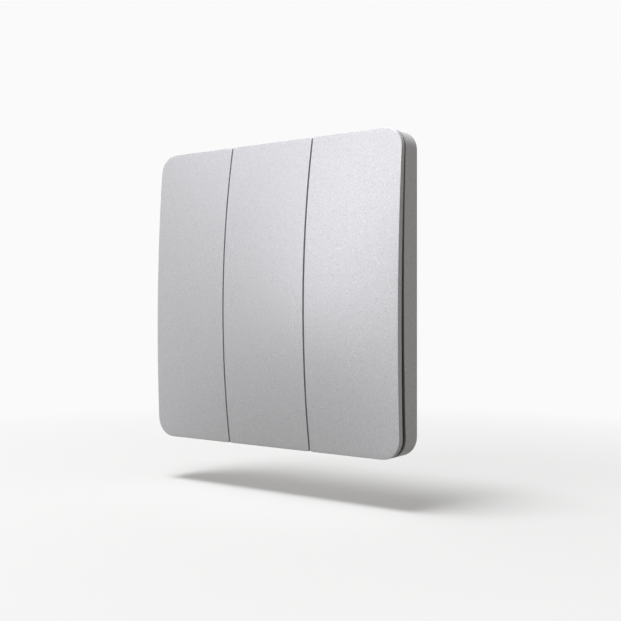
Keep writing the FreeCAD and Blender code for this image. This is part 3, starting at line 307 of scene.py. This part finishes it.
class Shell:
    """Vertices and quads gathered piece by piece."""

    def __init__(self):
        self.points = []
        self.faces = []
        self.painted = []
        self.outside = True
        self.count = 0

    def add(self, points):
        """Adds points and gives their numbers."""
        index = np.arange(len(points)) + self.count
        self.points.append(points)
        self.count += len(points)
        return index

    def add_faces(self, faces):
        """Adds faces, each a row of point numbers."""
        self.faces.append(faces)
        self.painted.append(np.full(len(faces), self.outside))

    def quads(self, a, b, c, d):
        """Adds a quad for each place in four equal rows of point numbers."""
        self.add_faces(np.stack([a, b, c, d], 1))

    def strip(self, first, second):
        """Quads between two closed rings of as many points."""
        self.quads(first, np.roll(first, -1), np.roll(second, -1), second)

    def sheet(self, grid, ring, columns, rows, flipped):
        """Quads of a grid whose border is a ring that exists already."""
        index = np.empty((rows + 1, columns + 1), int)
        bottom, right, top, left = split(ring, columns, rows)
        index[0], index[-1], index[:, 0], index[:, -1] = bottom, top, left, right
        index[1:-1, 1:-1] = self.add(grid[1:-1, 1:-1].reshape(-1, 3)).reshape(rows - 1, columns - 1)
        corners = [index[:-1, :-1], index[:-1, 1:], index[1:, 1:], index[1:, :-1]]
        if flipped:
            corners.reverse()
        self.quads(*(corner.ravel() for corner in corners))

    def block(self, low, high, depth_at):
        """A box from low to high, across and up.

        Its rear is flat at the depth in low, and each corner of its front lies at the depth from depth_at.
        """
        x = np.array([low[0], high[0], high[0], low[0]])
        z = np.array([low[2], low[2], high[2], high[2]])
        rear = self.add(np.stack([x, np.full(4, -low[1]), z], 1))
        front = self.add(np.stack([x, -depth_at(x, z), z], 1))
        self.strip(rear, front)
        self.add_faces(np.stack([rear[::-1], front]))

    def rod(self, x_low, x_high, radius, depth, z):
        """A closed cylinder along X: points on a circle at both ends, and a centre point in each end."""
        turn = np.linspace(0, 2 * np.pi, ROD_SIDES, endpoint=False)
        ends = []
        for x in (x_low, x_high):
            across = np.full(ROD_SIDES, x)
            circle = np.stack([across, -depth + radius * np.cos(turn), z + radius * np.sin(turn)], 1)
            ends.append(self.add(circle))
            middle = self.add(np.array([[x, -depth, z]]))
            fan = np.stack([ends[-1], np.roll(ends[-1], -1), np.repeat(middle, ROD_SIDES)], 1)
            self.add_faces(fan if x == x_high else fan[:, ::-1])
        self.strip(ends[1], ends[0])

    def mesh(self, name):
        """The mesh, whose second material is for what isn't painted."""
        mesh = bpy.data.meshes.new(name)
        faces = [face for group in self.faces for face in group.tolist()]
        mesh.from_pydata(np.concatenate(self.points), [], faces)
        unpainted = np.logical_not(np.concatenate(self.painted)).astype(np.int32)
        mesh.polygons.foreach_set("material_index", unpainted)
        return mesh


def turn_outward(mesh):
    """Turns the faces of closed surfaces outward."""
    work = bmesh.new()
    work.from_mesh(mesh)
    bmesh.ops.recalc_face_normals(work, faces=work.faces)
    work.to_mesh(mesh)
    work.free()


def link(name, mesh, materials, body, slot_name, *nodes):
    """Shows a mesh as a piece that rides on a body, and stands for its nodes."""
    for material in materials:
        mesh.materials.append(material)
    piece = bpy.data.objects.new(name, mesh)
    bpy.context.scene.collection.objects.link(piece)
    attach(piece, body)
    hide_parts(*nodes)
    return piece


def soften(mesh, angle):
    """Smooth shading, broken at edges that turn by more than an angle."""
    mesh.shade_smooth()
    mesh.set_sharp_from_angle(angle=angle)


def key_shell(side, sizes, hooks):
    """One closed key shell: front patch, rounded edge, side, rear edge, inner side and inner patch.

    The edge is an arc of radius r that meets the pillow and the side smoothly: at angle a it lies
    r (1 - sin a) inside the outline and r cos a in front of the arc's centre. The inner patch is the pillow,
    set back by the skin's thickness.
    """
    low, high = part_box(f"key_{side}")
    left = sizes.outer_corner if side == "left" else sizes.seam_corner
    right = sizes.outer_corner if side == "right" else sizes.seam_corner
    columns, rows = sizes.columns, sizes.rows
    span = (low.x, low.z), (high.x, high.z)
    runs = rounded_sides(*span, left, right, columns, rows)
    outline, outward = loop(runs, 0), loop(runs, 1)

    def ring(offset, depth):
        """The outline moved along its normal, at a depth."""
        flat = outline + outward * offset[:, None]
        return np.stack([flat[:, 0], -depth, flat[:, 1]], 1)

    def front_at(offset):
        """The pillow's depth on the outline moved along its normal."""
        flat = outline + outward * offset[:, None]
        return front_depth(flat[:, 0], flat[:, 1], sizes)

    zeros = np.zeros(len(outline))
    radius = sizes.edge_round
    fall = np.arctan((front_at(zeros - radius) - front_at(zeros)) / radius)
    start = -radius * (1 - np.sin(fall))
    centre = front_at(start) - radius * np.cos(fall)
    shell = Shell()
    rings = []
    for step in np.linspace(0, 1, ROUNDING_STEPS):
        angle = fall + (np.pi / 2 - fall) * step
        rings.append(shell.add(ring(radius * (np.sin(angle) - 1), centre + radius * np.cos(angle))))
    rear = bowed(outline[:, 1], sizes.rear_top, sizes.rear_bottom, sizes.rear_rise)
    rings.append(shell.add(ring(zeros, rear + sizes.rear_round)))
    rings.append(shell.add(ring(zeros - sizes.rear_round, rear)))
    inner_left, inner_right = (max(r - sizes.wall, sizes.seam_corner) for r in (left, right))
    inner_span = (low.x + sizes.wall, low.z + sizes.wall), (high.x - sizes.wall, high.z - sizes.wall)
    inner_runs = rounded_sides(*inner_span, inner_left, inner_right, columns, rows)
    inner = loop(inner_runs, 0)
    inner_rear = bowed(inner[:, 1], sizes.rear_top, sizes.rear_bottom, sizes.rear_rise)
    rings.append(shell.add(np.stack([inner[:, 0], -inner_rear, inner[:, 1]], 1)))
    inner_skin = front_depth(inner[:, 0], inner[:, 1], sizes) - sizes.skin
    rings.append(shell.add(np.stack([inner[:, 0], -inner_skin, inner[:, 1]], 1)))
    for first, second in zip(rings[:-2], rings[1:-1]):
        shell.strip(second, first)
    shell.outside = False
    shell.strip(rings[-1], rings[-2])
    for border, drop, flipped in ((rings[0], 0, False), (rings[-1], sizes.skin, True)):
        shell.outside = not flipped
        points = np.concatenate(shell.points)[border][:, [0, 2]]
        grid = patch(*split(points, columns, rows))
        depth = front_depth(grid[..., 0], grid[..., 1], sizes) - drop
        shell.sheet(np.stack([grid[..., 0], -depth, grid[..., 1]], -1), border, columns, rows, flipped)
    add_hooks(shell, (low.x + high.x) / 2, sizes, hooks)
    return shell


def add_hooks(shell, centre, sizes, hooks):
    """Lugs with stub pins at the top, hooks at the bottom, a rib and a boss.

    Each is a block or a rod. Its root lies half way into the front wall, so that it joins the shell.
    """

    def root(x, z):
        """Depth half way into the front wall."""
        return front_depth(x, z, sizes) - sizes.skin / 2

    def flat(depth):
        """A depth function that is the same everywhere."""
        return lambda x, z: np.full_like(x, depth)

    for end in (-1, 1):
        x = centre + end * hooks.spacing / 2
        half = hooks.lug_thickness / 2
        z = hooks.pivot_height
        radius = hooks.lug_radius
        shell.block((x - half, hooks.pivot_depth, z - radius), (x + half, 0, z + radius), root)
        shell.rod(x - half, x + half, radius, hooks.pivot_depth, z)
        tip = x + end * (half + hooks.pin_reach)
        shell.rod(min(x, tip), max(x, tip), hooks.pin_radius, hooks.pivot_depth, z)
        half = hooks.hook_width / 2
        z = -hooks.hook_drop
        arm = hooks.hook_arm / 2
        shell.block((x - half, hooks.catch_rear, z - arm), (x + half, 0, z + arm), root)
        shell.block((x - half, hooks.catch_rear, z - arm), (x + half, 0, z + arm + hooks.hook_catch),
                    flat(hooks.catch_rear + hooks.catch_height))
    half = hooks.boss_side / 2
    z = -hooks.boss_drop
    shell.block((centre - half, hooks.boss_rear, z - half), (centre + half, 0, z + half), root)
    half = hooks.rib_width / 2
    reach = hooks.rib_length / 2
    shell.block((centre - half, hooks.rib_rear, -reach), (centre + half, 0, reach), root)


# Materials


def add_node(tree, kind, settings=(), inputs=(), links=()):
    """Adds a node, sets its own settings and its inputs, and links other nodes' outputs to its inputs.

    Inputs go by name or by place. A Mix node of colours has its factor at 0, its two colours at 6 and 7, and
    its result at output 2.
    """
    node = tree.nodes.new(kind)
    for name, value in dict(settings).items():
        setattr(node, name, value)
    for key, value in dict(inputs).items():
        node.inputs[key].default_value = value
    for key, output in dict(links).items():
        tree.links.new(output, node.inputs[key])
    return node


def blank_material(name):
    """A material with an empty tree, its tree, and the object's own coordinates."""
    material = bpy.data.materials.new(name)
    material.use_nodes = True
    tree = material.node_tree
    tree.nodes.clear()
    return material, tree, add_node(tree, "ShaderNodeTexCoord").outputs["Object"]


def scaled(shade, amount):
    """A colour made darker or lighter: its linear light times an amount."""
    return (*(min(1.0, part * amount) for part in shade[:3]), 1.0)


def silver_paint(colours):
    # Silver metallic spray paint on moulded ABS: aluminium flakes in a binder, which give a wide soft
    # highlight and a fine grain. Real flakes are 0.02 to 0.05 mm and are drawn 0.22 mm so that the grain
    # shows.
    material, tree, place = blank_material("silver metallic paint on ABS")
    grain = add_node(tree, "ShaderNodeTexNoise", inputs={"Scale": 1 / PAINT_GRAIN, "Detail": 1.0},
                     links={"Vector": place})
    flakes = add_node(tree, "ShaderNodeMapRange", inputs={"From Min": 0.3, "From Max": 0.7},
                      links={"Value": grain.outputs["Fac"]}).outputs["Result"]
    paint = add_node(tree, "ShaderNodeMix", {"data_type": "RGBA"},
                     {6: colours.paint_dark, 7: colours.paint_light}, {0: flakes})
    gloss = add_node(tree, "ShaderNodeMapRange", inputs={"To Min": 0.40, "To Max": 0.32},
                     links={"Value": flakes})
    relief = add_node(tree, "ShaderNodeBump", inputs={"Distance": 0.002 * MM}, links={"Height": flakes})
    shader = add_node(tree, "ShaderNodeBsdfPrincipled", inputs={"Metallic": 0.2},
                      links={"Base Color": paint.outputs[2], "Roughness": gloss.outputs["Result"],
                             "Normal": relief.outputs["Normal"]})
    add_node(tree, "ShaderNodeOutputMaterial", links={"Surface": shader.outputs["BSDF"]})
    return material


def moulded_plastic(name, base, roughness, dark=0.9):
    # Injection moulded plastic with a spark-eroded texture: even colour and a dull, slightly broken
    # highlight. The texture is about 0.05 mm on the real part and is drawn 0.3 mm so that it shows.
    material, tree, place = blank_material(name)
    texture = add_node(tree, "ShaderNodeTexNoise", inputs={"Scale": 1 / PLASTIC_GRAIN},
                       links={"Vector": place})
    grain = add_node(tree, "ShaderNodeMapRange", inputs={"From Min": 0.35, "From Max": 0.65},
                     links={"Value": texture.outputs["Fac"]}).outputs["Result"]
    shade = add_node(tree, "ShaderNodeMix", {"data_type": "RGBA"}, {6: scaled(base, dark), 7: base},
                     {0: grain})
    relief = add_node(tree, "ShaderNodeBump", inputs={"Distance": 0.006 * MM}, links={"Height": grain})
    shader = add_node(tree, "ShaderNodeBsdfPrincipled", inputs={"Roughness": roughness},
                      links={"Base Color": shade.outputs[2], "Normal": relief.outputs["Normal"]})
    add_node(tree, "ShaderNodeOutputMaterial", links={"Surface": shader.outputs["BSDF"]})
    return material


def foam_tape(colours):
    # Closed-cell polyethylene foam with adhesive: matt, off-white, with cells of about 0.3 mm.
    material, tree, place = blank_material("polyethylene foam tape")
    cells = add_node(tree, "ShaderNodeTexVoronoi", inputs={"Scale": 1 / FOAM_CELL}, links={"Vector": place})
    height = add_node(tree, "ShaderNodeMapRange", inputs={"From Max": 0.7},
                      links={"Value": cells.outputs["Distance"]}).outputs["Result"]
    shade = add_node(tree, "ShaderNodeMix", {"data_type": "RGBA"},
                     {6: colours.foam, 7: scaled(colours.foam, 0.82)}, {0: height})
    relief = add_node(tree, "ShaderNodeBump", inputs={"Distance": 0.02 * MM}, links={"Height": height})
    shader = add_node(tree, "ShaderNodeBsdfPrincipled", inputs={"Roughness": 0.9},
                      links={"Base Color": shade.outputs[2], "Normal": relief.outputs["Normal"]})
    add_node(tree, "ShaderNodeOutputMaterial", links={"Surface": shader.outputs["BSDF"]})
    return material


def board_laminate(colours):
    # Solder mask over glass-epoxy laminate: smooth, green and half gloss. Copper about 2 mm wide shows
    # through as lighter winding bands, 5.7 mm from one to the next.
    material, tree, place = blank_material("solder mask on glass epoxy")
    waves = {"Scale": math.tau / (WAVE_TURN * COPPER_PITCH), "Distortion": 6.0, "Detail": 0.0,
             "Detail Scale": 0.6}
    bands = add_node(tree, "ShaderNodeTexWave", {"bands_direction": "Z"}, waves, {"Vector": place})
    copper = add_node(tree, "ShaderNodeMapRange", inputs={"From Min": 0.62, "From Max": 0.7},
                      links={"Value": bands.outputs["Fac"]}).outputs["Result"]
    mask = add_node(tree, "ShaderNodeMix", {"data_type": "RGBA"},
                    {6: colours.board, 7: scaled(colours.board, 1.9)}, {0: copper})
    relief = add_node(tree, "ShaderNodeBump", inputs={"Distance": 0.01 * MM}, links={"Height": copper})
    shader = add_node(tree, "ShaderNodeBsdfPrincipled", inputs={"Roughness": 0.35},
                      links={"Base Color": mask.outputs[2], "Normal": relief.outputs["Normal"]})
    add_node(tree, "ShaderNodeOutputMaterial", links={"Surface": shader.outputs["BSDF"]})
    return material


def sheet_metal(name, base, roughness, line):
    # Rolled sheet or turned steel, bare metal: fine lines along X, twelve times as long as wide, that
    # stretch the highlight across them.
    material, tree, place = blank_material(name)
    along = add_node(tree, "ShaderNodeMapping", {"vector_type": "TEXTURE"}, {"Scale": (12.0, 1.0, 1.0)},
                     {"Vector": place})
    streaks = add_node(tree, "ShaderNodeTexNoise", inputs={"Scale": 1 / line, "Detail": 3.0},
                       links={"Vector": along.outputs["Vector"]})
    lines = add_node(tree, "ShaderNodeMapRange", inputs={"From Min": 0.3, "From Max": 0.7},
                     links={"Value": streaks.outputs["Fac"]}).outputs["Result"]
    shade = add_node(tree, "ShaderNodeMix", {"data_type": "RGBA"}, {6: scaled(base, 0.86), 7: base},
                     {0: lines})
    gloss = add_node(tree, "ShaderNodeMapRange", inputs={"To Min": roughness + 0.08, "To Max": roughness},
                     links={"Value": lines})
    relief = add_node(tree, "ShaderNodeBump", inputs={"Distance": 0.002 * MM}, links={"Height": lines})
    shader = add_node(tree, "ShaderNodeBsdfPrincipled", inputs={"Metallic": 1.0},
                      links={"Base Color": shade.outputs[2], "Roughness": gloss.outputs["Result"],
                             "Normal": relief.outputs["Normal"]})
    add_node(tree, "ShaderNodeOutputMaterial", links={"Surface": shader.outputs["BSDF"]})
    return material


def make_finishes(colours):
    """Each material slot of the part, with its material."""
    return {
        "silver_paint": silver_paint(colours),
        # This bare plastic also goes on the housing rim under the keys, as painted shade of the gap there.
        "unpainted": moulded_plastic("bare dark grey ABS", colours.bare, roughness=0.6),
        "dark_plastic": moulded_plastic("dark moulded ABS", colours.carrier, roughness=0.55),
        "grey_plastic": moulded_plastic("grey moulded ABS", colours.plate, roughness=0.5),
        "switch_plastic": moulded_plastic("black glass-filled nylon", linear("#1C1C1E"), roughness=0.6,
                                          dark=0.75),
        "plunger_plastic": moulded_plastic("white moulded acetal", linear("#DEDDD6"), roughness=0.35),
        "foam_tape": foam_tape(colours),
        "board_laminate": board_laminate(colours),
        "tin_plate": sheet_metal("tin-plated steel sheet", linear("#C9CACB"), roughness=0.28, line=0.1 * MM),
        "zinc_steel": sheet_metal("zinc-plated steel", linear("#BFC2C6"), roughness=0.32, line=0.15 * MM),
        "cell_steel": sheet_metal("nickel-plated steel can", linear("#CFCFCC"), roughness=0.22,
                                  line=0.12 * MM),
    }


FINISH = {}


def finish(slot_name):
    """The material of a slot, made on first use."""
    if not FINISH:
        FINISH.update(make_finishes(bpy.context.scene.wall_remote_colours))
    return FINISH[slot_name]


def slots_of_nodes():
    """The record's material slot of each node."""
    return {entry["node"]: entry["material_slot"] for entry in frame["record"]["subparts"]}


def merged_copy(node):
    """A CAD node's mesh with its loose triangles joined, its curves shaded smooth and its flats left flat.

    The normals that the frame stores for each loose corner are let go, as they don't fit joined corners.
    """
    mesh = frame["nodes"][node].data.copy()
    if "custom_normal" in mesh.attributes:
        mesh.attributes.remove(mesh.attributes["custom_normal"])
    work = bmesh.new()
    work.from_mesh(mesh)
    bmesh.ops.remove_doubles(work, verts=work.verts, dist=MERGE_DISTANCE)
    work.to_mesh(mesh)
    work.free()
    mesh.name = f"{node}_smooth"
    mesh.materials.clear()
    soften(mesh, PART_SOFT_ANGLE)
    return mesh


def body_of(node):
    """The body that a node belongs to."""
    bodies = frame["record"]["behaviour"]["bodies"]
    return next(body for body, members in bodies.items() if node in members)


# Operators


class WALLREMOTE_OT_keys(bpy.types.Operator):
    """Three key shells cut from one pillow, in place of the plain key nodes"""

    bl_idname = "wall_remote.keys"
    bl_label = "Key shells"

    def execute(self, context):
        sizes, hooks = context.scene.wall_remote_keys, context.scene.wall_remote_hooks
        for side in SIDES:
            mesh = key_shell(side, sizes, hooks).mesh(f"key_shell_{side}")
            turn_outward(mesh)
            soften(mesh, KEY_SOFT_ANGLE)
            finishes = finish("silver_paint"), finish("unpainted")
            link(f"key_shell_{side}", mesh, finishes, f"{side}_key", "silver_paint", f"key_{side}")
        return {"FINISHED"}


class WALLREMOTE_OT_housing(bpy.types.Operator):
    """The housing with smooth curves, painted outside and bare inside, with the bare plastic also on the rim
    under the keys as painted shade of the gap
    """

    bl_idname = "wall_remote.housing"
    bl_label = "Housing"

    def execute(self, context):
        mesh = merged_copy("base_housing")
        centres = np.empty(len(mesh.polygons) * 3, np.float32)
        normals = np.empty_like(centres)
        mesh.polygons.foreach_get("center", centres)
        mesh.polygons.foreach_get("normal", normals)
        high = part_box("base_housing")[1]
        sizes = context.scene.wall_remote_keys
        x, z = np.abs(centres.reshape(-1, 3)[:, [0, 2]]).T
        past_x = np.maximum(x - high.x + sizes.outer_corner, 0)
        past_z = np.maximum(z - high.z + sizes.outer_corner, 0)
        inside = np.hypot(past_x, past_z) < sizes.outer_corner - sizes.housing_wall + WALL_MARGIN
        # Bare inside the walls; the forward-facing rim and its break under the keys take the bare plastic
        # too, as painted shade of the gap.
        bare = inside | (normals.reshape(-1, 3)[:, 1] < FORWARD)
        mesh.polygons.foreach_set("material_index", bare.astype(np.int32))
        link("housing", mesh, (finish("silver_paint"), finish("unpainted")), "housing", "silver_paint",
             "base_housing")
        return {"FINISHED"}


class WALLREMOTE_OT_round_parts(bpy.types.Operator):
    """Frame, plate and small round parts with smooth curves, in place of their faceted nodes"""

    bl_idname = "wall_remote.round_parts"
    bl_label = "Parts with round forms"

    def execute(self, context):
        slots = slots_of_nodes()
        names = ["wall_plate", "inner_frame", "frame_screws", "circuit_board", "battery_holder", "coin_cell"]
        names += [f"switch_{part}_{side}" for part in ("cover", "plunger") for side in SIDES]
        for name in names:
            link(f"{name}_smooth", merged_copy(name), [finish(slots[name])], body_of(name), slots[name], name)
        return {"FINISHED"}


class WALLREMOTE_OT_flat_parts(bpy.types.Operator):
    """Finishes of the nodes that stay as they are: boards, sheets, foam and switch bodies"""

    bl_idname = "wall_remote.flat_parts"
    bl_label = "Parts with flat forms"

    def execute(self, context):
        slots = slots_of_nodes()
        for name, node in frame["nodes"].items():
            if node.hide_render:
                continue
            node.data.materials.clear()
            node.data.materials.append(finish(slots[name]))
        return {"FINISHED"}


# Stage


def softbox(setup, kind, light):
    """A rectangular lamp that faces the middle of the object; kind is top, front or back."""
    data = bpy.data.lights.new(f"{kind} softbox", "AREA")
    data.shape = "RECTANGLE"
    data.size = getattr(setup, f"{kind}_width")
    data.size_y = getattr(setup, f"{kind}_height")
    data.energy = getattr(setup, f"{kind}_power")
    data.color = light[:3]
    lamp = bpy.data.objects.new(data.name, data)
    lamp.location = getattr(setup, f"{kind}_place")
    lamp.rotation_euler = (-lamp.location).to_track_quat("-Z", "Y").to_euler()
    bpy.context.scene.collection.objects.link(lamp)


def seen_ray(tree):
    """One for what the camera sees, straight, mirrored or through glass, and nought for soft light."""
    paths = add_node(tree, "ShaderNodeLightPath").outputs
    mirrored = add_node(tree, "ShaderNodeMath", {"operation": "MAXIMUM"},
                        links={0: paths["Is Glossy Ray"], 1: paths["Is Transmission Ray"]})
    return add_node(tree, "ShaderNodeMath", {"operation": "MAXIMUM"},
                    links={0: paths["Is Camera Ray"], 1: mirrored.outputs["Value"]}).outputs["Value"]


def paper_sweep(setup, colours):
    """A floor that takes the shadow, reflects little, and fades into plain white with distance."""
    material = bpy.data.materials.new("pale paper sweep")
    material.use_nodes = True
    tree = material.node_tree
    tree.nodes.clear()
    seen = seen_ray(tree)
    tint = add_node(tree, "ShaderNodeMix", {"data_type": "RGBA"},
                    {6: colours.floor_bounce, 7: colours.floor}, {0: seen})
    paper = add_node(tree, "ShaderNodeBsdfDiffuse", links={"Color": tint.outputs[2]})
    white = add_node(tree, "ShaderNodeEmission", inputs={"Color": colours.backdrop, "Strength": 1.0})
    place = add_node(tree, "ShaderNodeTexCoord").outputs["Object"]
    far = add_node(tree, "ShaderNodeVectorMath", {"operation": "LENGTH"}, links={"Vector": place})
    reach = {"From Min": setup.fade_start, "From Max": setup.fade_end, "To Min": setup.fade_least}
    fade = add_node(tree, "ShaderNodeMapRange", inputs=reach, links={"Value": far.outputs["Value"]})
    amount = add_node(tree, "ShaderNodeMath", {"operation": "MULTIPLY"},
                      links={0: fade.outputs["Result"], 1: seen})
    shaders = {0: amount.outputs["Value"], 1: paper.outputs["BSDF"], 2: white.outputs["Emission"]}
    mixed = add_node(tree, "ShaderNodeMixShader", links=shaders)
    add_node(tree, "ShaderNodeOutputMaterial", links={"Surface": mixed.outputs["Shader"]})
    return material


class WALLREMOTE_OT_stage(bpy.types.Operator):
    """Pale floor, soft lamps and the camera"""

    bl_idname = "wall_remote.stage"
    bl_label = "Stage"

    def execute(self, context):
        setup, colours = context.scene.wall_remote_stage, context.scene.wall_remote_colours
        self.floor(setup, colours)
        for kind in ("top", "front", "back"):
            softbox(setup, kind, colours.lamplight)
        self.world(context, setup, colours)
        self.camera(context, setup)
        context.scene.view_settings.view_transform = "Standard"
        return {"FINISHED"}

    def floor(self, setup, colours):
        """A flat square sheet at the floor's height."""
        half = setup.floor_reach
        corners = np.array([(-half, -half), (half, -half), (half, half), (-half, half)])
        points = np.column_stack([corners, np.full(4, setup.floor)])
        mesh = bpy.data.meshes.new("floor")
        mesh.from_pydata(points, [], [(0, 1, 2, 3)])
        mesh.materials.append(paper_sweep(setup, colours))
        floor = bpy.data.objects.new("floor", mesh)
        bpy.context.scene.collection.objects.link(floor)

    def world(self, context, setup, colours):
        """White for the camera, and a low even light for everything else."""
        world = bpy.data.worlds.new("studio")
        context.scene.world = world
        world.use_nodes = True
        tree = world.node_tree
        tree.nodes.clear()
        light = add_node(tree, "ShaderNodeBackground",
                         inputs={"Color": colours.surroundings, "Strength": setup.ambient})
        seen = add_node(tree, "ShaderNodeBackground", inputs={"Color": colours.backdrop, "Strength": 1.0})
        shaders = {0: seen_ray(tree), 1: light.outputs["Background"], 2: seen.outputs["Background"]}
        mixed = add_node(tree, "ShaderNodeMixShader", links=shaders)
        add_node(tree, "ShaderNodeOutputWorld", links={"Surface": mixed.outputs["Shader"]})

    def camera(self, context, setup):
        """The camera looks along the horizontal, turned about +Z, with the back face's middle off centre."""
        data = bpy.data.cameras.new("camera")
        data.lens = setup.lens
        data.sensor_width = SENSOR_WIDTH
        data.shift_y = setup.shift
        data.clip_start = NEAREST_SEEN
        camera = bpy.data.objects.new("camera", data)
        sin, cos = math.sin(setup.turn), math.cos(setup.turn)
        right, ahead = Vector((cos, sin, 0)), Vector((-sin, cos, 0))
        camera.location = right * setup.across - ahead * setup.distance + Vector((0, 0, setup.eye))
        camera.rotation_euler = (math.pi / 2, 0, setup.turn)
        context.scene.collection.objects.link(camera)
        context.scene.camera = camera


# Panel and registration

OPERATORS = (
    WALLREMOTE_OT_keys,
    WALLREMOTE_OT_housing,
    WALLREMOTE_OT_round_parts,
    WALLREMOTE_OT_flat_parts,
    WALLREMOTE_OT_stage,
)

GROUPS = {
    "wall_remote_keys": WallRemoteKeySizes,
    "wall_remote_hooks": WallRemoteHookSizes,
    "wall_remote_colours": WallRemoteColours,
    "wall_remote_stage": WallRemoteStage,
}


class WALLREMOTE_PT_panel(bpy.types.Panel):
    """Sidebar panel that lists the pieces"""

    bl_idname = "WALLREMOTE_PT_panel"
    bl_label = "Wall remote"
    bl_space_type = "VIEW_3D"
    bl_region_type = "UI"
    bl_category = "Wall remote"

    def draw(self, context):
        for operator in OPERATORS:
            self.layout.operator(operator.bl_idname)
        for group in GROUPS:
            settings = getattr(context.scene, group)
            box = self.layout.box()
            for name in settings.bl_rna.properties.keys():
                if name not in ("rna_type", "name"):
                    box.prop(settings, name)


def register():
    for cls in (*GROUPS.values(), *OPERATORS, WALLREMOTE_PT_panel):
        bpy.utils.register_class(cls)
    for name, cls in GROUPS.items():
        setattr(bpy.types.Scene, name, PointerProperty(type=cls))


def unregister():
    for name in GROUPS:
        delattr(bpy.types.Scene, name)
    for cls in (WALLREMOTE_PT_panel, *reversed(OPERATORS), *reversed(tuple(GROUPS.values()))):
        bpy.utils.unregister_class(cls)


def main():
    register()
    bpy.ops.wall_remote.keys()
    bpy.ops.wall_remote.housing()
    bpy.ops.wall_remote.round_parts()
    bpy.ops.wall_remote.flat_parts()
    bpy.ops.wall_remote.stage()


if __name__ == "__main__":
    main()
